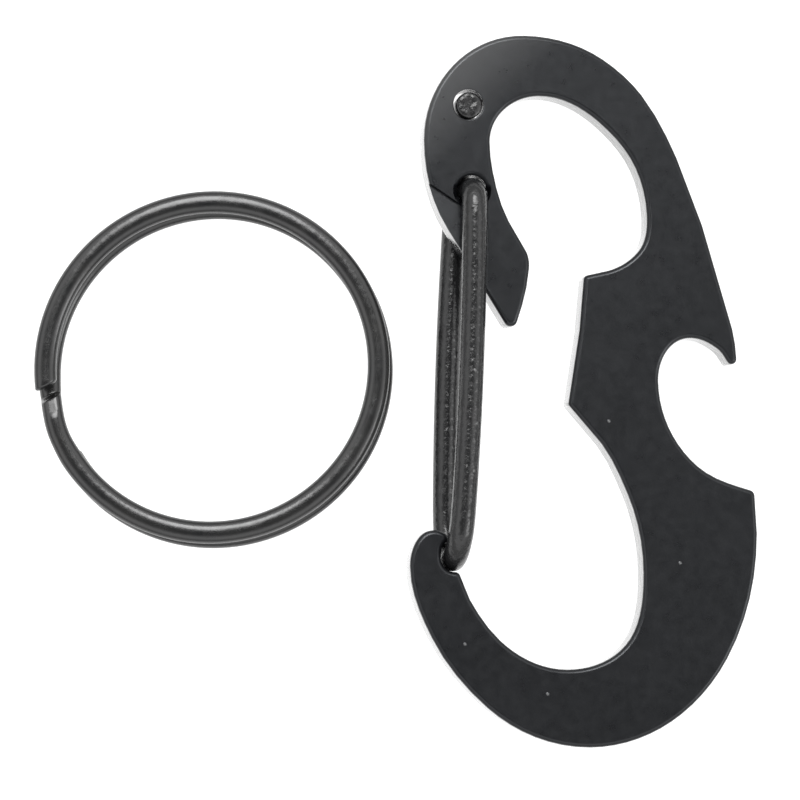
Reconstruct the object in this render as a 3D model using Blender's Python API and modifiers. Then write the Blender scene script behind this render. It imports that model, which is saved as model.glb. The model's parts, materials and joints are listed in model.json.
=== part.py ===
"""Carabiner keyring: a stamped plate carabiner with a bottle opener notch, its one-piece bent wire
gate, and a split key ring that lies beside it.

The carabiner lies as it rests on a table: its back face is held up on the gate side by the rear leg
of the gate, and its far edge touches the table. Inside the carabiner's own frame, X and Y lie in the
plate, with Y along it and the gate at -X, and Z is the plate's thickness, with the front face up.
"""

import math

import bmesh
import bpy
from mathutils import Matrix, Vector
from mathutils.geometry import interpolate_bezier

MM = 0.001

# Plate
PLATE_THICKNESS = 3.0 * MM
PLATE_EDGE_ROUND = 0.4 * MM
OUTLINE_TURN_DEG = 5.0
OUTLINE_SHORTEST_STEP = 0.15 * MM
PIN_HOLE_RADIUS = 1.3 * MM
PIN_HOLE_FLARE = 0.35 * MM
PIN_HOLE_CHAMFER = 0.1 * MM
PIN_HOLE_SIDES = 32
FRONT_HOLE = Vector((-9.75, 16.95)) * MM
REAR_HOLE = Vector((-10.05, 24.25)) * MM

# Coined ramp that lets each leg of the gate into its hole
RAMP_DEPTH = 0.45 * MM
RAMP_LENGTH = 9.0 * MM
RAMP_SHOULDER = Vector((-0.95, -1.27)) * MM
RAMP_SHOULDER_SLOPE = 0.67
RAMP_SIDE = 1.35 * MM
RAMP_OPEN_SIDE = 6.3 * MM
RAMP_OVERSHOOT = 3.0 * MM
RAMP_CUT_HEIGHT = 2.0 * MM

# Gate wire
WIRE_RADIUS = 1.05 * MM
WIRE_BEND_RADIUS = 1.3 * MM
WIRE_END_INSET = 0.3 * MM
LEG_CLEARANCE = 0.2 * MM
REAR_PIN_OFFSET = Vector((0.1, -0.03)) * MM
GATE_SEAT = Vector((-11.2, -14.17)) * MM
GATE_SEAT_RADIUS = 1.2 * MM
GATE_REST = GATE_SEAT - Vector((0.0, 0.08)) * MM
FRONT_LEG_BOW = 1.05 * MM
REAR_LEG_BOW = 1.5 * MM
WIRE_SEAM = 0.3 * MM
WIRE_BEND_STEPS = 6
WIRE_LEG_STEPS = 12
WIRE_TURN_STEPS = 8

# Split ring
RING_OUTER_DIAMETER = 30.1 * MM
RING_WIRE_WIDTH = 1.9 * MM
RING_WIRE_HEIGHT = 1.4 * MM
RING_TURN_GAP = 0.1 * MM
RING_TURN_SHIFT = Vector((0.165, -0.17)) * MM
RING_OVAL = 0.12 * MM
RING_OVAL_DEG = 35.0
RING_LOWER_END_DEG = 209.5
RING_RAMP_START_DEG = 549.0
RING_RAMP_END_DEG = 558.0
RING_SWING_END_DEG = 567.0
RING_FLEX_DEG = 720.0
RING_UPPER_END_DEG = 907.0
RING_STEP_DEG = 7.5
RING_RAMP_STEP_DEG = 1.5
RING_SECTION_SIDES = 12

# The ring's centre from the plate's centre, on the table
RING_OFFSET = Vector((-31.32, 1.9)) * MM

# The plate's outline, anticlockwise from the top, in millimetres. A smooth point is its place and the
# heading of the edge there, in degrees. A corner is the place where its two edges would meet, their
# headings, and the corner's radius.
SEAT_X, SEAT_Y, SEAT_R = GATE_SEAT.x / MM, GATE_SEAT.y / MM, GATE_SEAT_RADIUS / MM
OUTLINE = [
    (-5.2, 30.3, 180),
    (-13.85, 21.2, 270),
    (-11.85, 13.7, 301),
    (-6.27, 4.6, 301, 431, 0.6),
    (-4.8, 10.3, 445),
    (-5.05, 11.85, 478),
    (-6.55, 14.4, 478),
    (-7.9, 18.6, 461),
    (-8.17, 21.1, 450),
    (-4.0, 25.1, 362),
    (1.2, 23.0, 320),
    (4.4, 19.1, 295),
    (5.35, 15.2, 273),
    (4.6, 11.95, 230),
    (1.9, 10.27, 195),
    (-0.12, 9.82, 192, 267, 0.45),
    (-0.5, 5.2, 264),
    (-1.5, -1.15, 258, 310, 0.45),
    (1.4, -4.5, 307),
    (3.6, -8.7, 293),
    (4.95, -15.4, 270),
    (2.9, -22.0, 221),
    (-1.6, -23.55, 180),
    (-7.35, -21.1, 137),
    (-9.9, -17.7, 120),
    (SEAT_X + 0.3, SEAT_Y - SEAT_R, 118, 180, 0.45),
    (SEAT_X, SEAT_Y - SEAT_R, 180),
    (SEAT_X - SEAT_R, SEAT_Y, 90),
    (SEAT_X - 0.35, SEAT_Y + 1.57, 35, 135, 0.45),
    (-12.7, -11.87, 170),
    (-15.05, -14.9, 270),
    (-13.2, -20.9, 297),
    (-8.46, -26.8, 319),
    (0.3, -30.15, 360),
    (8.22, -27.36, 398),
    (12.2, -22.66, 421),
    (14.85, -12.0, 450),
    (14.62, -8.4, 456, 524, 0.55),
    (9.65, -6.25, 499),
    (6.33, 0.9, 451),
    (9.25, 4.6, 358),
    (11.6, 3.6, 322),
    (13.2, 1.35, 305, 452, 0.45),
    (12.8, 5.4, 463),
    (10.2, 14.3, 468),
    (8.0, 20.05, 474),
    (5.0, 25.35, 488),
    (1.6, 28.4, 507),
]

LEG_HEIGHT = PLATE_THICKNESS / 2 + LEG_CLEARANCE + WIRE_RADIUS
REAR_PIN = REAR_HOLE + REAR_PIN_OFFSET


def clear_scene():
    for obj in list(bpy.data.objects):
        bpy.data.objects.remove(obj, do_unlink=True)


def new_collection(name):
    collection = bpy.data.collections.new(name)
    bpy.context.scene.collection.children.link(collection)
    return collection


def paint(name, color, roughness):
    """Black enamel over steel."""
    material = bpy.data.materials.new(name)
    material.use_nodes = True
    shader = material.node_tree.nodes["Principled BSDF"]
    shader.inputs["Base Color"].default_value = (*color, 1.0)
    shader.inputs["Roughness"].default_value = roughness
    shader.inputs["Metallic"].default_value = 0.0
    material.diffuse_color = (*color, 1.0)
    return material


def new_empty(name, location, parent=None, tilt=0.0):
    empty = bpy.data.objects.new(name, None)
    empty.empty_display_size = 2 * MM
    empty.location = location
    empty.rotation_euler = (0.0, tilt, 0.0)
    empty.parent = parent
    parts.objects.link(empty)
    return empty


def heading_vector(degrees):
    return Vector((math.cos(math.radians(degrees)), math.sin(math.radians(degrees))))


def outline_knots(outline):
    """(place, heading) pairs in metres, with each corner replaced by the two ends of its fillet."""
    knots = []
    for entry in outline:
        place = Vector(entry[:2]) * MM
        if len(entry) == 3:
            knots.append((place, entry[2]))
            continue
        heading_in, heading_out, radius = entry[2:]
        turn = abs(wrapped(heading_out - heading_in))
        reach = radius * MM * math.tan(math.radians(turn) / 2)
        knots.append((place - reach * heading_vector(heading_in), heading_in))
        knots.append((place + reach * heading_vector(heading_out), heading_out))
    return knots


def wrapped(degrees):
    """The same angle between -180 and 180."""
    return (degrees + 180) % 360 - 180


def handle_length(start, end):
    """Bezier handle that makes an arc of the span between two knots."""
    turn = math.radians(wrapped(end[1] - start[1]))
    return (end[0] - start[0]).length / (3 * math.cos(turn / 4) ** 2)


def flat_curve(name, half_thickness):
    curve = bpy.data.curves.new(name, "CURVE")
    curve.dimensions = "2D"
    curve.fill_mode = "BOTH"
    curve.extrude = half_thickness
    return curve


def outline_points(knots):
    """Points along the outline, closer together where it turns."""
    points = []
    for start, end in zip(knots, knots[1:] + knots[:1]):
        turn = abs(wrapped(end[1] - start[1]))
        length = (end[0] - start[0]).length
        steps = max(1, round(min(turn / OUTLINE_TURN_DEG, length / OUTLINE_SHORTEST_STEP)))
        handle = handle_length(start, end)
        leave = start[0] + handle * heading_vector(start[1])
        arrive = end[0] - handle * heading_vector(end[1])
        points.extend(interpolate_bezier(start[0], leave, arrive, end[0], steps + 1)[:-1])
    return points


def add_poly_spline(curve, points, cyclic=False):
    spline = curve.splines.new("POLY")
    spline.points.add(len(points) - 1)
    spline.use_cyclic_u = cyclic
    for target, point in zip(spline.points, points):
        target.co = (*point, 1.0)


def mesh_from_curve(name, curve, collection):
    """The curve's solid as a mesh object, with its caps welded on."""
    guide = bpy.data.objects.new(name + "_curve", curve)
    collection.objects.link(guide)
    graph = bpy.context.evaluated_depsgraph_get()
    mesh = bpy.data.meshes.new_from_object(guide.evaluated_get(graph))
    welded = bmesh.new()
    welded.from_mesh(mesh)
    bmesh.ops.remove_doubles(welded, verts=welded.verts, dist=0.001 * MM)
    bmesh.ops.recalc_face_normals(welded, faces=welded.faces)
    welded.to_mesh(mesh)
    welded.free()
    solid = bpy.data.objects.new(name, mesh)
    solid.matrix_world = guide.matrix_world
    collection.objects.link(solid)
    bpy.data.objects.remove(guide, do_unlink=True)
    return solid


def shade_round(obj, sharp_degrees):
    obj.data.shade_smooth()
    obj.data.set_sharp_from_angle(angle=math.radians(sharp_degrees))


def cut(obj, cutter):
    modifier = obj.modifiers.new(cutter.name, "BOOLEAN")
    modifier.operation = "DIFFERENCE"
    modifier.object = cutter


def as_cutter(obj, parent):
    obj.parent = parent
    obj.hide_render = True
    obj.display_type = "WIRE"
    return obj


def pin_hole_cutter(name, centre, side, parent):
    """A through hole, flared on the side (1 front, -1 back) that the wire's bend comes in from."""
    half = PLATE_THICKNESS / 2
    past = half + 1 * MM
    profile = [
        (0.0, past),
        (PIN_HOLE_RADIUS + PIN_HOLE_FLARE, past),
        (PIN_HOLE_RADIUS + PIN_HOLE_FLARE, half),
        (PIN_HOLE_RADIUS, half - PIN_HOLE_FLARE),
        (PIN_HOLE_RADIUS, -half + PIN_HOLE_CHAMFER),
        (PIN_HOLE_RADIUS + PIN_HOLE_CHAMFER, -half),
        (PIN_HOLE_RADIUS + PIN_HOLE_CHAMFER, -past),
        (0.0, -past),
    ]
    mesh = bpy.data.meshes.new(name)
    turned = bmesh.new()
    corners = [turned.verts.new((x, 0.0, z)) for x, z in profile]
    for first, second in zip(corners, corners[1:]):
        turned.edges.new((first, second))
    turned.to_mesh(mesh)
    turned.free()
    cutter = bpy.data.objects.new(name, mesh)
    cutter.location = centre.to_3d()
    cutter.rotation_euler = (0.0, 0.0 if side > 0 else math.pi, 0.0)
    cutters.objects.link(cutter)
    screw = cutter.modifiers.new("turn", "SCREW")
    screw.steps = PIN_HOLE_SIDES
    screw.render_steps = PIN_HOLE_SIDES
    screw.use_merge_vertices = True
    screw.merge_threshold = 0.01 * MM
    return as_cutter(cutter, parent)


def ramp_cutter(name, centre, side, parent):
    """A shallow wedge, deepest at the hole, that runs down the leg and out past the plate's edge."""
    end = -RAMP_LENGTH - RAMP_OVERSHOOT
    outline = [
        (RAMP_SIDE, 0.0),
        (RAMP_SIDE, end),
        (-RAMP_OPEN_SIDE, end),
        (-RAMP_OPEN_SIDE, RAMP_SHOULDER.y + (RAMP_OPEN_SIDE + RAMP_SHOULDER.x) * RAMP_SHOULDER_SLOPE),
        RAMP_SHOULDER,
        (0.0, 0.0),
    ]
    curve = flat_curve(name, RAMP_CUT_HEIGHT)
    add_poly_spline(curve, [(x, y, 0.0) for x, y in outline], cyclic=True)
    cutter = mesh_from_curve(name, curve, cutters)
    cutter.data.transform(Matrix.Translation((0.0, 0.0, RAMP_CUT_HEIGHT)))
    slope = math.atan2(RAMP_DEPTH, RAMP_LENGTH)
    face = side * PLATE_THICKNESS / 2
    cutter.location = (centre.x, centre.y, face - side * RAMP_DEPTH)
    cutter.rotation_euler = (-slope, 0.0, 0.0)
    if side < 0:
        cutter.scale = (1.0, 1.0, -1.0)
        cutter.rotation_euler = (slope, 0.0, 0.0)
    return as_cutter(cutter, parent)


def make_plate(parent, material):
    curve = flat_curve("body_plate", PLATE_THICKNESS / 2 - PLATE_EDGE_ROUND)
    curve.bevel_depth = PLATE_EDGE_ROUND
    curve.offset = -PLATE_EDGE_ROUND
    curve.bevel_resolution = 2
    curve.materials.append(material)
    add_poly_spline(curve, [point.to_3d() for point in outline_points(outline_knots(OUTLINE))], cyclic=True)
    plate = mesh_from_curve("body_plate", curve, parts)
    plate.parent = parent
    cut(plate, ramp_cutter("front_ramp", FRONT_HOLE, 1, parent))
    cut(plate, ramp_cutter("back_ramp", REAR_HOLE, -1, parent))
    cut(plate, pin_hole_cutter("front_leg_hole", FRONT_HOLE, 1, parent))
    cut(plate, pin_hole_cutter("rear_leg_hole", REAR_HOLE, -1, parent))
    shade_round(plate, 30)
    return plate


def arc_points(centre, first_axis, second_axis, radius, steps):
    """A quarter turn from the first axis to the second, both ends included."""
    for step in range(steps + 1):
        angle = math.pi / 2 * step / steps
        yield centre + radius * (math.cos(angle) * first_axis + math.sin(angle) * second_axis)


def leg_route(pin, side, bow, bow_at_start):
    """Centre line of half the gate: pin end, bend, bowed leg, and half of the bend round the seat."""
    up = Vector((0.0, 0.0, side))
    down = Vector((0.0, -1.0, 0.0))
    pin = pin.to_3d()
    seat = GATE_REST.to_3d()
    route = [pin - up * (PLATE_THICKNESS / 2 - WIRE_END_INSET)]
    bend_centre = pin + up * (LEG_HEIGHT - WIRE_BEND_RADIUS) + down * WIRE_BEND_RADIUS
    route.extend(arc_points(bend_centre, -down, up, WIRE_BEND_RADIUS, WIRE_BEND_STEPS))
    leg_start = route[-1]
    leg_end = Vector((pin.x - bow, seat.y + LEG_HEIGHT, side * LEG_HEIGHT))
    middle = (leg_start + leg_end) / 2
    middle.x = leg_end.x if bow_at_start else leg_start.x
    for step in range(1, WIRE_LEG_STEPS):
        t = step / WIRE_LEG_STEPS
        route.append((1 - t) ** 2 * leg_start + 2 * t * (1 - t) * middle + t**2 * leg_end)
    turn_centre = Vector((seat.x, leg_end.y, 0.0))
    for point in arc_points(turn_centre, up, down, LEG_HEIGHT, WIRE_TURN_STEPS):
        point.x += (leg_end.x - seat.x) * (1 - (turn_centre.y - point.y) / LEG_HEIGHT)
        route.append(point)
    route[-1] = seat + up * WIRE_SEAM / 2
    return route


def make_wire(name, route, origin, parent, material):
    curve = bpy.data.curves.new(name, "CURVE")
    curve.dimensions = "3D"
    curve.twist_mode = "MINIMUM"
    curve.bevel_depth = WIRE_RADIUS
    curve.bevel_resolution = 4
    curve.use_fill_caps = True
    add_poly_spline(curve, [point - origin for point in route])
    curve.materials.append(material)
    wire = bpy.data.objects.new(name, curve)
    wire.parent = parent
    parts.objects.link(wire)
    return wire


def make_gate(parent, material):
    """Two halves of one bent wire, which meet where it passes round the seat."""
    front_origin = FRONT_HOLE.to_3d()
    rear_origin = GATE_REST.to_3d()
    front_pivot = new_empty("gate_front_pivot", front_origin, parent)
    rear_pivot = new_empty("gate_rear_pivot", rear_origin - front_origin, front_pivot)
    front_route = leg_route(FRONT_HOLE, 1, FRONT_LEG_BOW, bow_at_start=False)
    rear_route = leg_route(REAR_PIN, -1, REAR_LEG_BOW, bow_at_start=True)
    return [
        make_wire("gate_wire_front", front_route, front_origin, front_pivot, material),
        make_wire("gate_wire_rear", rear_route, rear_origin, rear_pivot, material),
    ]


def share_between(degrees, start, end):
    return min(max((degrees - start) / (end - start), 0.0), 1.0)


def ring_rise(degrees):
    """Height of the centre line over the lower turn's: the ramp is two arcs that meet halfway up."""
    climb = RING_WIRE_HEIGHT + RING_TURN_GAP
    run = math.radians(RING_RAMP_END_DEG - RING_RAMP_START_DEG) * RING_OUTER_DIAMETER / 2
    bend_radius = (run**2 + climb**2) / (4 * climb)
    share = share_between(degrees, RING_RAMP_START_DEG, RING_RAMP_END_DEG)
    along = run * min(share, 1 - share)
    lift = bend_radius - math.sqrt(bend_radius**2 - along**2)
    return lift if share < 0.5 else climb - lift


def ring_point(degrees):
    """Centre line of the ring's wire, from the ring's centre on the table."""
    swing = share_between(degrees, RING_RAMP_START_DEG, RING_SWING_END_DEG)
    swing = swing * swing * (3 - 2 * swing)
    oval = RING_OVAL * math.cos(2 * math.radians(degrees - RING_OVAL_DEG))
    radius = (RING_OUTER_DIAMETER - RING_WIRE_WIDTH) / 2 + oval
    flat = RING_TURN_SHIFT * (1 - 2 * swing) + radius * heading_vector(degrees)
    return Vector((flat.x, flat.y, RING_WIRE_HEIGHT / 2 + ring_rise(degrees)))


def ring_route(start_deg, end_deg):
    """Points along the ring, closer together where it climbs from the lower turn to the upper one."""
    stops = [start_deg]
    stops.extend(deg for deg in (RING_RAMP_START_DEG, RING_RAMP_END_DEG) if start_deg < deg < end_deg)
    stops.append(end_deg)
    route = [ring_point(start_deg)]
    for first, last in zip(stops, stops[1:]):
        step = RING_RAMP_STEP_DEG if first == RING_RAMP_START_DEG else RING_STEP_DEG
        count = round((last - first) / step)
        route.extend(ring_point(first + (last - first) * index / count) for index in range(1, count + 1))
    return route


def ring_profile():
    """The flattened round section of the ring's wire."""
    curve = bpy.data.curves.new("ring_wire_profile", "CURVE")
    curve.dimensions = "2D"
    points = []
    for side in range(RING_SECTION_SIDES):
        angle = 2 * math.pi * side / RING_SECTION_SIDES
        points.append((math.cos(angle) * RING_WIRE_WIDTH / 2, math.sin(angle) * RING_WIRE_HEIGHT / 2, 0.0))
    add_poly_spline(curve, points, cyclic=True)
    profile = bpy.data.objects.new("ring_wire_profile", curve)
    cutters.objects.link(profile)
    profile.hide_render = True
    profile.display_type = "WIRE"
    return profile


def make_ring_piece(name, route, origin, profile, parent, material):
    curve = bpy.data.curves.new(name, "CURVE")
    curve.dimensions = "3D"
    curve.twist_mode = "Z_UP"
    curve.bevel_mode = "OBJECT"
    curve.bevel_object = profile
    curve.use_fill_caps = True
    add_poly_spline(curve, [point - origin for point in route])
    curve.materials.append(material)
    piece = mesh_from_curve(name, curve, parts)
    piece.parent = parent
    shade_round(piece, 40)
    return piece


def make_ring(parent, material):
    """Two turns of one wire, in two halves that meet where the free end of the top turn twists up."""
    profile = ring_profile()
    seam_deg = math.degrees(WIRE_SEAM / 2 / (RING_OUTER_DIAMETER / 2))
    pivot_place = ring_point(RING_FLEX_DEG)
    pivot = new_empty("ring_flex_pivot", pivot_place, parent)
    coil_route = ring_route(RING_LOWER_END_DEG, RING_FLEX_DEG - seam_deg)
    end_route = ring_route(RING_FLEX_DEG + seam_deg, RING_UPPER_END_DEG)
    return [
        make_ring_piece("split_ring_coil", coil_route, Vector(), profile, parent, material),
        make_ring_piece("split_ring_free_end", end_route, pivot_place, profile, pivot, material),
    ]


def rest_tilt():
    """Angle at which the rear leg, on one side, and the plate's far edge, on the other, touch the table."""
    far_edge = max(entry[0] for entry in OUTLINE) * MM - PLATE_EDGE_ROUND
    leg = REAR_PIN.x - REAR_LEG_BOW
    run = far_edge - leg
    drop = LEG_HEIGHT - (PLATE_THICKNESS / 2 - PLATE_EDGE_ROUND)
    radii = WIRE_RADIUS - PLATE_EDGE_ROUND
    return math.atan2(drop, run) + math.asin(radii / math.hypot(run, drop))


def stand_on_origin(roots, solids):
    """Moves the whole layout so that it stands on z = 0, centred on the origin."""
    bpy.context.view_layer.update()
    graph = bpy.context.evaluated_depsgraph_get()
    corners = []
    for solid in solids:
        evaluated = solid.evaluated_get(graph)
        mesh = evaluated.to_mesh()
        corners.extend(evaluated.matrix_world @ vertex.co for vertex in mesh.vertices)
        evaluated.to_mesh_clear()
    low = Vector([min(corner[axis] for corner in corners) for axis in range(3)])
    high = Vector([max(corner[axis] for corner in corners) for axis in range(3)])
    shift = Vector(((low.x + high.x) / 2, (low.y + high.y) / 2, low.z))
    for root in roots:
        root.location -= shift


def rest_on_table(root, solids):
    """Lifts one root so that the lowest of its solids touches z = 0."""
    bpy.context.view_layer.update()
    graph = bpy.context.evaluated_depsgraph_get()
    lowest = []
    for solid in solids:
        evaluated = solid.evaluated_get(graph)
        mesh = evaluated.to_mesh()
        lowest.append(min((evaluated.matrix_world @ vertex.co).z for vertex in mesh.vertices))
        evaluated.to_mesh_clear()
    root.location.z -= min(lowest)


clear_scene()
parts = new_collection("carabiner_keyring")
cutters = new_collection("carabiner_keyring_cutters")
plate_paint = paint("plate_black_enamel", (0.022, 0.023, 0.025), 0.42)
gate_paint = paint("gate_black_enamel", (0.016, 0.016, 0.017), 0.32)
ring_paint = paint("ring_black_enamel", (0.012, 0.012, 0.013), 0.25)
carabiner_rest = new_empty("carabiner_rest", (0, 0, 0), tilt=rest_tilt())
ring_rest = new_empty("ring_rest", RING_OFFSET.to_3d())
carabiner_solids = [make_plate(carabiner_rest, plate_paint), *make_gate(carabiner_rest, gate_paint)]
ring_solids = make_ring(ring_rest, ring_paint)
rest_on_table(carabiner_rest, carabiner_solids)
rest_on_table(ring_rest, ring_solids)
stand_on_origin([carabiner_rest, ring_rest], carabiner_solids + ring_solids)
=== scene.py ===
"""Looks of the carabiner keyring: enamelled plate, pebbled gate wire and glossy split ring.

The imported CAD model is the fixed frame. The plate is a cleaned and softened copy of its CAD solid. The
gate and the ring are swept again along the same centre lines, much finer, in pieces that meet where the
CAD bodies meet: at the gate's seat and opposite the ring's free end. There each wire runs along the
joint's axis, so the two pieces stay in line at every pose. Only the ring's climb from its lower turn to its
upper one, its free end and the gate's wire ends are shaped differently from the CAD.
"""

import json
import math

import bmesh
import bpy
from mathutils import Matrix, Vector, noise


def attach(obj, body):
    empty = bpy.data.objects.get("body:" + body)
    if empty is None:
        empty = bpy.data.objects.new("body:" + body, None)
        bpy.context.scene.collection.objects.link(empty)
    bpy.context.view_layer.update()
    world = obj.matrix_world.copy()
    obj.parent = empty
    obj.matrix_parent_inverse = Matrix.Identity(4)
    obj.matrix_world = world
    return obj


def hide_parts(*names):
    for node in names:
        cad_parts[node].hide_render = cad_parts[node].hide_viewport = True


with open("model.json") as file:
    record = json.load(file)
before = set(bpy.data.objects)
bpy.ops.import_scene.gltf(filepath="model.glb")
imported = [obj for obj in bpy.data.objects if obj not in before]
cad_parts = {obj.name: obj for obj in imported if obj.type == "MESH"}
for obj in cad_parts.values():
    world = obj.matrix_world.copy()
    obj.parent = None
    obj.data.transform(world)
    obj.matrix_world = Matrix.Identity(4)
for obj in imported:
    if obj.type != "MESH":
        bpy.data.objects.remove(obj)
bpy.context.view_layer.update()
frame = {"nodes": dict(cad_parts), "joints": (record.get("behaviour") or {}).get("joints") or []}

MM = 0.001

# Plate and gate, as in the CAD model. Places on the plate are from the centre of its lower hole
PLATE_THICKNESS = 3.0 * MM
REAR_HOLE = Vector((-0.3, 7.3)) * MM
REAR_PIN = Vector((-0.2, 7.27)) * MM
WIRE_RADIUS = 1.05 * MM
WIRE_BEND_RADIUS = 1.3 * MM
WIRE_END_INSET = 0.3 * MM
WIRE_END_SPREAD = 1.06
WIRE_END_REACH = 0.5 * MM
WIRE_SIDES = 32
WIRE_SMOOTHING_ROUNDS = 12
BEND_STEPS = 12
LEG_STEPS = 56
TURN_STEPS = 16
LUMP_SIZE = 0.45 * MM
LUMP_HEIGHT = 0.06 * MM
LEG_HEIGHT = PLATE_THICKNESS / 2 + 0.2 * MM + WIRE_RADIUS
FRONT_LEG_BOW = 1.05 * MM
REAR_LEG_BOW = 1.5 * MM

# Split ring, as in the CAD model
RING_OUTER_DIAMETER = 30.1 * MM
RING_WIRE_WIDTH = 1.9 * MM
RING_WIRE_HEIGHT = 1.4 * MM
RING_TURN_GAP = 0.1 * MM
RING_TURN_SHIFT = Vector((0.165, -0.17)) * MM
RING_OVAL = 0.12 * MM
RING_OVAL_DEG = 35.0
RING_LOWER_END_DEG = 209.5
RING_SWING_START_DEG = 549.0
RING_SWING_END_DEG = 567.0
RING_FLEX_DEG = 720.0
RING_UPPER_END_DEG = 906.2
RING_SECTION_SIDES = 32
RING_SQUARENESS = 2.25
RING_STEP_DEG = 2.5
RING_CLIMB_STEP_DEG = 0.3
RING_CLIMB_MARGIN_DEG = 5.0

# Where the ring climbs from its lower turn to its upper one: a steep step, then a gently sloping pad
STEP_START_DEG = 548.0
STEP_END_DEG = 550.2
PAD_END_DEG = 555.2
PAD_RISE = 0.2 * MM
RING_CUT_SLANT = 0.35
PAD_FLATTENING = 0.1
PAD_EDGE_START_DEG = 0.2
PAD_EDGE_END_DEG = 0.5
RING_NARROW = 0.07
RING_NARROW_DEG = (541.0, 551.0, 566.0, 574.0)

# Camera: almost straight above, at a long focal length
CAMERA_TARGET = Vector((0.315, -0.75, 2.0)) * MM
CAMERA_DISTANCE = 0.345
CAMERA_LEAN_X_DEG = 3.1
CAMERA_LEAN_Y_DEG = 3.7
CAMERA_LENS_MM = 182.4

# Edges of the plate worn a little rounder than in the CAD model
WORN_WIDTH = 0.07 * MM
WORN_SEGMENTS = 2
WORN_ANGLE_DEG = 50.0
FLAT_ANGLE_DEG = 0.6
WELD_DISTANCE = 0.002 * MM
NORMAL_WEIGHT = 80
PLATE_SHARP_DEG = 44
WIRE_SHARP_DEG = 60
RING_SHARP_DEG = 50

# How far round the holes and the seat the plate's walls have no glossy coat
HOLE_CLEAR_RADIUS = 2.0 * MM
SEAT_CLEAR_RADIUS = 2.3 * MM

FLOOR_HALF_SIZE = 1.5
FLOOR_DROP = 0.05 * MM
FLOOR_GLOW = 0.9
WORLD_STRENGTH = 2.0

# Brightness of the studio against the height (0 at the horizon, 1 overhead)
SKY = ((0.0, 0.25), (0.35, 0.3), (0.6, 0.68), (0.82, 0.7), (0.95, 0.07), (1.0, 0.03))


def joint(name):
    return next(j for j in frame["joints"] if j["name"] == name)


PLATE_NORMAL = Vector(joint("gate_open")["axis"]).normalized()
PLATE_Y = Vector((0.0, 1.0, 0.0))
PLATE_X = PLATE_Y.cross(PLATE_NORMAL).normalized()
FRONT_HOLE = Vector(joint("gate_open")["pos_m"])
GATE_REST = Vector(joint("gate_flex")["pos_m"])
RING_FLEX = Vector(joint("ring_flex")["pos_m"])


def on_plate(x, y, z):
    """World place of a point in the plate's own axes, from the lower hole's centre in its mid-plane."""
    return FRONT_HOLE + x * PLATE_X + y * PLATE_Y + z * PLATE_NORMAL


REAR_HOLE_PLACE = on_plate(REAR_HOLE.x, REAR_HOLE.y, 0.0)

# ---------------------------------------------------------------- meshes


def link(obj):
    bpy.context.scene.collection.objects.link(obj)
    return obj


def tangents(route):
    result = []
    for index in range(len(route)):
        before = route[max(index - 1, 0)]
        after = route[min(index + 1, len(route) - 1)]
        result.append((after - before).normalized())
    return result


def swept_frames(route, first_side):
    """For each point the tangent and two axes across it, turned as little as possible along the way."""
    frames = []
    side = first_side
    for tangent in tangents(route):
        side = (side - side.dot(tangent) * tangent).normalized()
        frames.append((tangent, side, tangent.cross(side)))
    return frames


def oval_section(width, height, sides, squareness=2.0):
    """Points round a section: an ellipse at squareness 2, flatter on its sides above that."""
    points = []
    for index in range(sides):
        angle = 2 * math.pi * index / sides
        cosine, sine = math.cos(angle), math.sin(angle)
        power = 2 / squareness
        points.append((
            math.copysign(abs(cosine) ** power, cosine) * width / 2,
            math.copysign(abs(sine) ** power, sine) * height / 2,
        ))
    return points


def tube(name, rings):
    """A closed tube through rings of points, with its two ends filled."""
    mesh = bmesh.new()
    loops = [[mesh.verts.new(point) for point in ring] for ring in rings]
    for first, second in zip(loops, loops[1:]):
        for index in range(len(first)):
            after = (index + 1) % len(first)
            mesh.faces.new((first[index], first[after], second[after], second[index]))
    mesh.faces.new(loops[0][::-1])
    mesh.faces.new(loops[-1])
    bmesh.ops.recalc_face_normals(mesh, faces=mesh.faces)
    data = bpy.data.meshes.new(name)
    mesh.to_mesh(data)
    mesh.free()
    return link(bpy.data.objects.new(name, data))


def section_ring(centre, axes, section, scale=1.0):
    _, across, up = axes
    return [centre + scale * (x * across + y * up) for x, y in section]


def shade_round(obj, sharp_deg):
    obj.data.shade_smooth()
    obj.data.set_sharp_from_angle(angle=math.radians(sharp_deg))


def smoothed(route, rounds):
    """The route with its small kinks eased out, its ends kept."""
    for _ in range(rounds):
        inner = [(a + 2 * b + c) / 4 for a, b, c in zip(route, route[1:], route[2:])]
        route = [route[0], *inner, route[-1]]
    return route


# ---------------------------------------------------------------- materials


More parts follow.
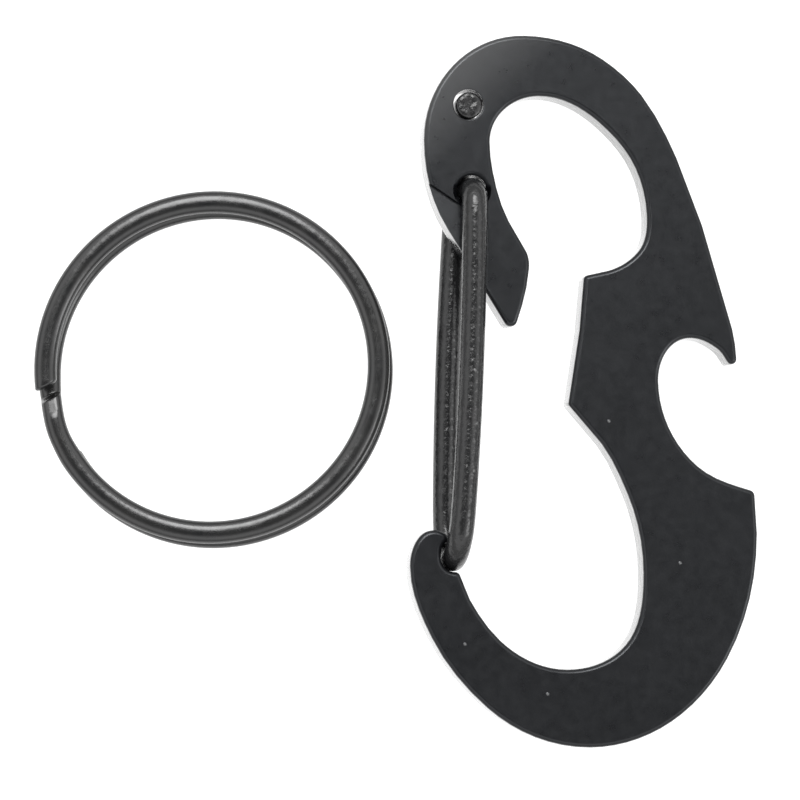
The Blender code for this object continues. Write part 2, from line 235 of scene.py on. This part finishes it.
class Nodes:
    """Small helper that adds shader nodes to one material and wires them up."""

    def __init__(self, name):
        self.material = bpy.data.materials.new(name)
        self.material.use_nodes = True
        self.tree = self.material.node_tree
        self.shader = self.tree.nodes["Principled BSDF"]
        self.place = self.add("ShaderNodeTexCoord").outputs["Object"]

    def add(self, kind, **values):
        node = self.tree.nodes.new(kind)
        for key, value in values.items():
            setattr(node, key, value)
        return node

    def feed(self, socket, value):
        if isinstance(value, bpy.types.NodeSocket):
            self.tree.links.new(value, socket)
        else:
            socket.default_value = value

    def noise(self, size, detail=3.0, roughness=0.5, stretch=None):
        """Noise whose features are about size metres across."""
        node = self.add("ShaderNodeTexNoise", noise_dimensions="3D")
        place = self.place
        if stretch:
            mapping = self.add("ShaderNodeMapping")
            self.feed(mapping.inputs["Vector"], place)
            mapping.inputs["Scale"].default_value = stretch
            place = mapping.outputs["Vector"]
        self.feed(node.inputs["Vector"], place)
        node.inputs["Scale"].default_value = 1 / size
        node.inputs["Detail"].default_value = detail
        node.inputs["Roughness"].default_value = roughness
        return node.outputs[0]

    def cells(self, size):
        """Distance from each cell's centre, in cells, and a random number for each cell."""
        node = self.add("ShaderNodeTexVoronoi", feature="F1", voronoi_dimensions="2D")
        self.feed(node.inputs["Vector"], self.place)
        node.inputs["Scale"].default_value = 1 / size
        split = self.add("ShaderNodeSeparateColor")
        self.feed(split.inputs[0], node.outputs["Color"])
        return node.outputs["Distance"], split.outputs[0]

    def remap(self, value, low, high, to_low=0.0, to_high=1.0):
        node = self.add("ShaderNodeMapRange")
        self.feed(node.inputs["Value"], value)
        node.inputs["From Min"].default_value = low
        node.inputs["From Max"].default_value = high
        node.inputs["To Min"].default_value = to_low
        node.inputs["To Max"].default_value = to_high
        return node.outputs[0]

    def math(self, operation, first, second=0.0):
        node = self.add("ShaderNodeMath", operation=operation)
        self.feed(node.inputs[0], first)
        self.feed(node.inputs[1], second)
        return node.outputs[0]

    def mix(self, factor, first, second):
        node = self.add("ShaderNodeMix", data_type="RGBA")
        self.feed(node.inputs["Factor"], factor)
        self.feed(node.inputs[6], first)
        self.feed(node.inputs[7], second)
        return node.outputs[2]

    def bump(self, height, depth, after=None):
        """Bump whose full range is depth metres."""
        node = self.add("ShaderNodeBump")
        node.inputs["Strength"].default_value = 1.0
        node.inputs["Distance"].default_value = depth
        self.feed(node.inputs["Height"], height)
        if after is not None:
            self.feed(node.inputs["Normal"], after)
        return node.outputs["Normal"]

    def specks(self, spacing, share, size):
        """Sparse round grains of dust on the surfaces that face up or down: 1 on a grain, 0 elsewhere."""
        distance, chance = self.cells(spacing)
        near = self.remap(distance, size / spacing, 0.4 * size / spacing)
        chosen = self.math("LESS_THAN", chance, share)
        return self.math("MULTIPLY", self.math("MULTIPLY", near, chosen), self.facing_up(0.6, 0.8))

    def apart(self, vector):
        """The X, Y and Z of a vector."""
        split = self.add("ShaderNodeSeparateXYZ")
        self.feed(split.inputs[0], vector)
        return split

    def painted_corner_sheen(self):
        """Painted highlight: the enamel's colour made thinly paler towards the corner of the plate over its
        holes, where the light catches it.
        """
        split = self.apart(self.place)
        across = self.math("SUBTRACT", split.outputs["Y"], split.outputs["X"])
        return self.remap(across, 0.0155, 0.0235)

    def away_from(self, centre, radius):
        """0 within the radius of an upright line through the centre, and 1 outside it."""
        split = self.apart(self.place)
        across = self.math("SUBTRACT", split.outputs["X"], centre.x)
        along = self.math("SUBTRACT", split.outputs["Y"], centre.y)
        across_squared = self.math("MULTIPLY", across, across)
        along_squared = self.math("MULTIPLY", along, along)
        return self.math("GREATER_THAN", self.math("ADD", across_squared, along_squared), radius**2)

    def facing_up(self, low, high):
        """0 on walls and 1 on faces that look up or down."""
        normal = self.add("ShaderNodeTexCoord").outputs["Normal"]
        return self.remap(self.math("ABSOLUTE", self.apart(normal).outputs["Z"]), low, high)


def grey(level):
    return (level, level, level, 1.0)


def plate_enamel():
    """Satin black enamel: faint mottling, a painted pale sheen towards the corner over the holes, a fine
    orange peel, dust grains and light rub marks.
    """
    n = Nodes("plate_satin_enamel")
    mottle = n.remap(n.noise(5 * MM, 4.0, 0.6), 0.3, 0.7)
    color = n.mix(mottle, (0.0018, 0.002, 0.0026, 1.0), (0.004, 0.0042, 0.005, 1.0))
    # painted highlight: paler colour towards the corner of the plate over its holes
    color = n.mix(n.painted_corner_sheen(), color, grey(0.05))
    grain = n.specks(5.6 * MM, 0.3, 0.15 * MM)
    color = n.mix(grain, color, grey(0.1))
    rub = n.remap(n.noise(1.6 * MM, 5.0, 0.7, stretch=(1.0, 0.12, 1.0)), 0.6, 0.8)
    fine = n.noise(0.9 * MM, 3.0, 0.6)
    rough = n.remap(fine, 0.3, 0.7, 0.27, 0.33)
    rough = n.math("ADD", rough, n.math("MULTIPLY", rub, 0.06))
    walls = n.facing_up(0.25, 0.75)
    wall_share = n.math("SUBTRACT", 1.0, walls)
    rough = n.math("ADD", n.math("MULTIPLY", rough, walls), n.math("MULTIPLY", wall_share, 0.12))
    off_front_hole = n.away_from(FRONT_HOLE, HOLE_CLEAR_RADIUS)
    off_rear_hole = n.away_from(REAR_HOLE_PLACE, HOLE_CLEAR_RADIUS)
    off_seat = n.away_from(GATE_REST, SEAT_CLEAR_RADIUS)
    clear = n.math("MULTIPLY", n.math("MULTIPLY", off_front_hole, off_rear_hole), off_seat)
    n.feed(n.shader.inputs["Coat Weight"], n.math("MULTIPLY", wall_share, clear))
    n.shader.inputs["Coat Roughness"].default_value = 0.1
    n.feed(n.shader.inputs["Base Color"], color)
    n.feed(n.shader.inputs["Roughness"], rough)
    peel = n.bump(n.noise(0.55 * MM, 2.0, 0.5), 0.006 * MM)
    wave = n.bump(n.noise(6 * MM, 1.0, 0.5), 0.015 * MM, peel)
    torn = n.math("MULTIPLY", n.noise(0.8 * MM, 3.0, 0.6), wall_share)
    n.feed(n.shader.inputs["Normal"], n.bump(torn, 0.12 * MM, n.bump(grain, 0.03 * MM, wave)))
    n.shader.inputs["Specular IOR Level"].default_value = 0.5
    n.shader.inputs["Specular Tint"].default_value = (0.93, 0.96, 1.0, 1.0)
    return n.material


def gate_enamel():
    """The same enamel on the gate's wire, pebbled where it pulled up as it cured."""
    n = Nodes("gate_pebbled_enamel")
    mottle = n.remap(n.noise(2.2 * MM, 4.0, 0.6), 0.3, 0.7)
    color = n.mix(mottle, (0.006, 0.0062, 0.0066, 1.0), (0.011, 0.011, 0.0115, 1.0))
    grain = n.specks(3.0 * MM, 0.2, 0.16 * MM)
    n.feed(n.shader.inputs["Base Color"], n.mix(grain, color, grey(0.09)))
    n.feed(n.shader.inputs["Roughness"], n.remap(n.noise(0.7 * MM, 3.0, 0.6), 0.3, 0.7, 0.2, 0.3))
    pebble = n.bump(n.noise(0.5 * MM, 2.0, 0.5), 0.06 * MM)
    n.feed(n.shader.inputs["Normal"], n.bump(grain, 0.03 * MM, pebble))
    n.shader.inputs["Specular IOR Level"].default_value = 0.62
    return n.material


def ring_enamel():
    """Glossy black plating on drawn wire: faint mottling, uneven gloss and slight waviness."""
    n = Nodes("ring_gloss_black")
    mottle = n.remap(n.noise(3.0 * MM, 4.0, 0.6), 0.3, 0.7)
    color = n.mix(mottle, (0.006, 0.0064, 0.007, 1.0), (0.012, 0.0118, 0.0115, 1.0))
    n.feed(n.shader.inputs["Base Color"], color)
    n.feed(n.shader.inputs["Roughness"], n.remap(n.noise(1.2 * MM, 3.0, 0.6), 0.3, 0.7, 0.21, 0.28))
    wavy = n.bump(n.noise(1.4 * MM, 2.0, 0.5), 0.02 * MM)
    n.feed(n.shader.inputs["Normal"], n.bump(n.noise(0.35 * MM, 2.0, 0.5), 0.004 * MM, wavy))
    n.shader.inputs["Specular IOR Level"].default_value = 0.75
    return n.material


def floor_white():
    """Matte white paper with faint fibres, partly lit from within so that it stays plain white."""
    n = Nodes("floor_matte_white")
    fibre = n.remap(n.noise(2 * MM, 3.0, 0.6), 0.3, 0.7)
    n.feed(n.shader.inputs["Base Color"], n.mix(fibre, grey(0.38), grey(0.4)))
    n.shader.inputs["Emission Color"].default_value = grey(1.0)
    n.shader.inputs["Emission Strength"].default_value = FLOOR_GLOW
    n.shader.inputs["Roughness"].default_value = 0.9
    n.shader.inputs["Specular IOR Level"].default_value = 0.1
    return n.material


# ---------------------------------------------------------------- plate


def make_plate(material):
    """The CAD plate's own solid with its flat areas whole again, its creases softened, its edges worn."""
    plate = link(bpy.data.objects.new("plate_enamelled", frame["nodes"]["body_plate"].data.copy()))
    mesh = bmesh.new()
    mesh.from_mesh(plate.data)
    bmesh.ops.remove_doubles(mesh, verts=mesh.verts, dist=WELD_DISTANCE)
    flat = math.radians(FLAT_ANGLE_DEG)
    bmesh.ops.dissolve_limit(mesh, angle_limit=flat, verts=mesh.verts, edges=mesh.edges)
    mesh.to_mesh(plate.data)
    mesh.free()
    plate.data.materials.clear()
    plate.data.materials.append(material)
    shade_round(plate, PLATE_SHARP_DEG)
    worn = plate.modifiers.new("worn_edges", "BEVEL")
    worn.width = WORN_WIDTH
    worn.segments = WORN_SEGMENTS
    worn.limit_method = "ANGLE"
    worn.angle_limit = math.radians(WORN_ANGLE_DEG)
    worn.use_clamp_overlap = True
    weighted = plate.modifiers.new("face_weighted_normals", "WEIGHTED_NORMAL")
    weighted.keep_sharp = True
    weighted.weight = NORMAL_WEIGHT
    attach(plate, "plate")
    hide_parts("body_plate")


# ---------------------------------------------------------------- gate


def quarter_turn(centre, first_axis, second_axis, radius, steps):
    for step in range(steps + 1):
        angle = math.pi / 2 * step / steps
        yield centre + radius * (math.cos(angle) * first_axis + math.sin(angle) * second_axis)


def leg_route(pin, side, bow, bow_at_start):
    """Centre line of half the gate in the plate's axes: wire end, bend, leg, half of the bend at the seat."""
    up = Vector((0.0, 0.0, side))
    down = Vector((0.0, -1.0, 0.0))
    offset = GATE_REST - FRONT_HOLE
    seat = Vector((offset.dot(PLATE_X), offset.dot(PLATE_Y), offset.dot(PLATE_NORMAL)))
    route = [pin - up * (PLATE_THICKNESS / 2 - WIRE_END_INSET)]
    bend_centre = pin + up * (LEG_HEIGHT - WIRE_BEND_RADIUS) + down * WIRE_BEND_RADIUS
    route.extend(quarter_turn(bend_centre, -down, up, WIRE_BEND_RADIUS, BEND_STEPS))
    leg_start = route[-1]
    leg_end = Vector((pin.x - bow, seat.y + LEG_HEIGHT, side * LEG_HEIGHT))
    middle = (leg_start + leg_end) / 2
    middle.x = leg_end.x if bow_at_start else leg_start.x
    for step in range(1, LEG_STEPS):
        t = step / LEG_STEPS
        route.append((1 - t) ** 2 * leg_start + 2 * t * (1 - t) * middle + t**2 * leg_end)
    turn_centre = Vector((seat.x, leg_end.y, 0.0))
    for point in quarter_turn(turn_centre, up, down, LEG_HEIGHT, TURN_STEPS):
        point.x += (leg_end.x - seat.x) * (1 - (turn_centre.y - point.y) / LEG_HEIGHT)
        route.append(point)
    return route[:2] + smoothed(route[1:], WIRE_SMOOTHING_ROUNDS)[1:]


def make_gate_half(name, pin, side, bow, bow_at_start, body, node, material):
    """One leg of the gate, from its sheared end, a little wider than the wire, to the seat."""
    route = [on_plate(*point) for point in leg_route(pin, side, bow, bow_at_start)]
    frames = swept_frames(route, PLATE_X)
    section = oval_section(2 * WIRE_RADIUS, 2 * WIRE_RADIUS, WIRE_SIDES)
    sheared_end = [(0.2, 0.06 * MM), (0.5, 0.11 * MM), (0.85, 0.1 * MM), (0.99, 0.05 * MM)]
    rings = []
    for scale, reach in sheared_end:
        rings.append(section_ring(route[0] - reach * frames[0][0], frames[0], section, scale))
    rings.append(section_ring(route[0], frames[0], section, WIRE_END_SPREAD))
    rings.append(section_ring(route[0] + WIRE_END_REACH * frames[0][0], frames[0], section, WIRE_END_SPREAD))
    rings.extend(section_ring(point, axes, section) for point, axes in zip(route[1:], frames[1:]))
    wire = tube(name, rings)
    roughen_end(wire, route[0])
    wire.data.materials.append(material)
    shade_round(wire, WIRE_SHARP_DEG)
    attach(wire, body)
    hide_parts(node)


def roughen_end(wire, end):
    """Small lumps on the sheared face of the wire."""
    for vertex in wire.data.vertices:
        away = (vertex.co - end).length
        if away < WIRE_RADIUS:
            lump = noise.noise(vertex.co / LUMP_SIZE)
            vertex.co += PLATE_NORMAL * lump * LUMP_HEIGHT


# ---------------------------------------------------------------- split ring


def heading_vector(degrees):
    return Vector((math.cos(math.radians(degrees)), math.sin(math.radians(degrees))))


def share_between(degrees, start, end):
    return min(max((degrees - start) / (end - start), 0.0), 1.0)


def eased(share):
    return share * share * (3 - 2 * share)


def ring_rise(degrees):
    """Height of the wire over the lower turn."""
    climb = RING_WIRE_HEIGHT + RING_TURN_GAP
    step = eased(share_between(degrees, STEP_START_DEG, STEP_END_DEG))
    return (climb - PAD_RISE) * step + PAD_RISE * share_between(degrees, STEP_END_DEG, PAD_END_DEG)


def ring_width(degrees):
    """Share of the full width: the wire is a little narrower where it was pressed to climb."""
    first, second, third, last = RING_NARROW_DEG
    narrow = eased(share_between(degrees, first, second)) - eased(share_between(degrees, third, last))
    return 1 - RING_NARROW * narrow


def ring_local(degrees):
    """Centre line of the ring's wire, from the ring's centre on the table, without its climb."""
    swing = eased(share_between(degrees, RING_SWING_START_DEG, RING_SWING_END_DEG))
    oval = RING_OVAL * math.cos(2 * math.radians(degrees - RING_OVAL_DEG))
    radius = (RING_OUTER_DIAMETER - RING_WIRE_WIDTH) / 2 + oval
    flat = RING_TURN_SHIFT * (1 - 2 * swing) + radius * heading_vector(degrees)
    return Vector((flat.x, flat.y, RING_WIRE_HEIGHT / 2))


def ring_section(degrees, section, scale=1.0, slant=0.0, reach=0.0):
    """Points of the wire's section at one place, kept upright so that the wire can climb steeply."""
    flex_point = ring_local(RING_FLEX_DEG) + Vector((0.0, 0.0, ring_rise(RING_FLEX_DEG)))
    centre = RING_FLEX - flex_point + ring_local(degrees)
    pressed = share_between(degrees, STEP_START_DEG, STEP_END_DEG)
    pressed -= share_between(degrees, PAD_END_DEG - PAD_EDGE_START_DEG, PAD_END_DEG + PAD_EDGE_END_DEG)
    top = (1 - PAD_FLATTENING * pressed) * RING_WIRE_HEIGHT / 2
    outward = heading_vector(degrees).to_3d()
    along = Vector((-outward.y, outward.x, 0.0))
    points = []
    for x, y in section:
        side = scale * x * ring_width(degrees)
        slanted = math.degrees(RING_CUT_SLANT * side / (RING_OUTER_DIAMETER / 2))
        height = scale * min(y, top) + ring_rise(degrees - slanted)
        points.append(centre + side * outward + (slant * side + reach) * along + Vector((0.0, 0.0, height)))
    return points


def ring_stations(start_deg, end_deg):
    """Angles along the ring, closer together round its climb."""
    angles = [start_deg]
    climb_start = STEP_START_DEG - RING_CLIMB_MARGIN_DEG
    climb_end = STEP_END_DEG + RING_CLIMB_MARGIN_DEG
    while angles[-1] < end_deg - 0.01:
        in_climb = climb_start <= angles[-1] <= climb_end
        step = RING_CLIMB_STEP_DEG if in_climb else RING_STEP_DEG
        angles.append(min(angles[-1] + step, end_deg))
    return angles


def make_ring_piece(name, start_deg, end_deg, cut_at_start, body, node, material):
    """One stretch of the ring's wire, with its slanted and rounded cut at one of its ends."""
    section = oval_section(RING_WIRE_WIDTH, RING_WIRE_HEIGHT, RING_SECTION_SIDES, RING_SQUARENESS)
    rounded_cut = [(0.96, 0.09 * MM), (0.87, 0.18 * MM), (0.74, 0.24 * MM), (0.5, 0.26 * MM)]
    stations = ring_stations(start_deg, end_deg)
    rings = [ring_section(degrees, section) for degrees in stations]
    cut_deg, direction = (start_deg, -1) if cut_at_start else (end_deg, 1)
    slant = direction * RING_CUT_SLANT
    cut_rings = [ring_section(cut_deg, section, 1.0, slant)]
    cut_rings.extend(
        ring_section(cut_deg, section, scale, slant, direction * reach) for scale, reach in rounded_cut
    )
    rings = cut_rings[::-1] + rings[1:] if cut_at_start else rings[:-1] + cut_rings
    piece = tube(name, rings)
    piece.data.materials.append(material)
    shade_round(piece, RING_SHARP_DEG)
    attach(piece, body)
    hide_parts(node)


def make_ring(material):
    make_ring_piece(
        "ring_two_turns", RING_LOWER_END_DEG, RING_FLEX_DEG, True,
        "ring", "split_ring_coil", material,
    )
    make_ring_piece(
        "ring_free_end", RING_FLEX_DEG, RING_UPPER_END_DEG, False,
        "ring_end", "split_ring_free_end", material,
    )


# ---------------------------------------------------------------- floor, light and camera


def make_floor(material):
    mesh = bmesh.new()
    bmesh.ops.create_grid(mesh, x_segments=1, y_segments=1, size=FLOOR_HALF_SIZE)
    data = bpy.data.meshes.new("floor")
    mesh.to_mesh(data)
    mesh.free()
    data.materials.append(material)
    floor = link(bpy.data.objects.new("floor", data))
    floor.location.z = -FLOOR_DROP


def aim(obj, target):
    obj.rotation_euler = (target - obj.location).to_track_quat("-Z", "Y").to_euler()


def make_light(name, direction, distance, size, energy, glossy=True):
    data = bpy.data.lights.new(name, "AREA")
    data.shape = "DISK"
    data.size = size
    data.energy = energy
    lamp = link(bpy.data.objects.new(name, data))
    lamp.location = Vector(direction).normalized() * distance
    lamp.visible_glossy = glossy
    aim(lamp, Vector((0.0, 0.0, 0.0)))


def make_world():
    """A white studio: dark overhead, brightest above the middle and dimmer again near the horizon."""
    world = bpy.data.worlds.new("studio")
    bpy.context.scene.world = world
    world.use_nodes = True
    tree = world.node_tree
    background = tree.nodes["Background"]
    place = tree.nodes.new("ShaderNodeTexCoord")
    split = tree.nodes.new("ShaderNodeSeparateXYZ")
    ramp = tree.nodes.new("ShaderNodeValToRGB")
    tree.links.new(place.outputs["Generated"], split.inputs[0])
    tree.links.new(split.outputs["Z"], ramp.inputs[0])
    stops = ramp.color_ramp.elements
    while len(stops) < len(SKY):
        stops.new(1.0)
    for stop, (height, level) in zip(stops, SKY):
        stop.position = height
        stop.color = grey(level)
    tree.links.new(ramp.outputs[0], background.inputs["Color"])
    background.inputs["Strength"].default_value = WORLD_STRENGTH


def make_camera():
    lean_x = math.sin(math.radians(CAMERA_LEAN_X_DEG))
    lean_y = math.sin(math.radians(CAMERA_LEAN_Y_DEG))
    back = Vector((-lean_x, -lean_y, 1.0)).normalized()
    right = Vector((0.0, 1.0, 0.0)).cross(back).normalized()
    up = back.cross(right)
    data = bpy.data.cameras.new("camera")
    data.lens = CAMERA_LENS_MM
    data.sensor_width = 36.0
    data.clip_start = 0.01
    camera = link(bpy.data.objects.new("camera", data))
    turn = Matrix((right, up, back)).transposed().to_4x4()
    camera.matrix_world = Matrix.Translation(CAMERA_TARGET + CAMERA_DISTANCE * back) @ turn
    bpy.context.scene.camera = camera


make_plate(plate_enamel())
gate_paint = gate_enamel()
make_gate_half(
    "gate_front_leg", Vector((0.0, 0.0, 0.0)), 1, FRONT_LEG_BOW, False,
    "gate_front", "gate_wire_front", gate_paint,
)
make_gate_half(
    "gate_rear_leg", REAR_PIN.to_3d(), -1, REAR_LEG_BOW, True,
    "gate_rear", "gate_wire_rear", gate_paint,
)
make_ring(ring_enamel())

make_floor(floor_white())
make_world()
make_light("overhead_softbox", (-0.01, 0.454, 0.891), 0.9, 0.45, 4.4)
make_light("side_softbox", (0.8, -0.25, 0.55), 0.9, 0.38, 1.25)
make_light("room_fill", (0.0, 0.0, 1.0), 1.2, 1.2, 3.0, glossy=False)
make_camera()
bpy.context.scene.view_settings.view_transform = "Standard"
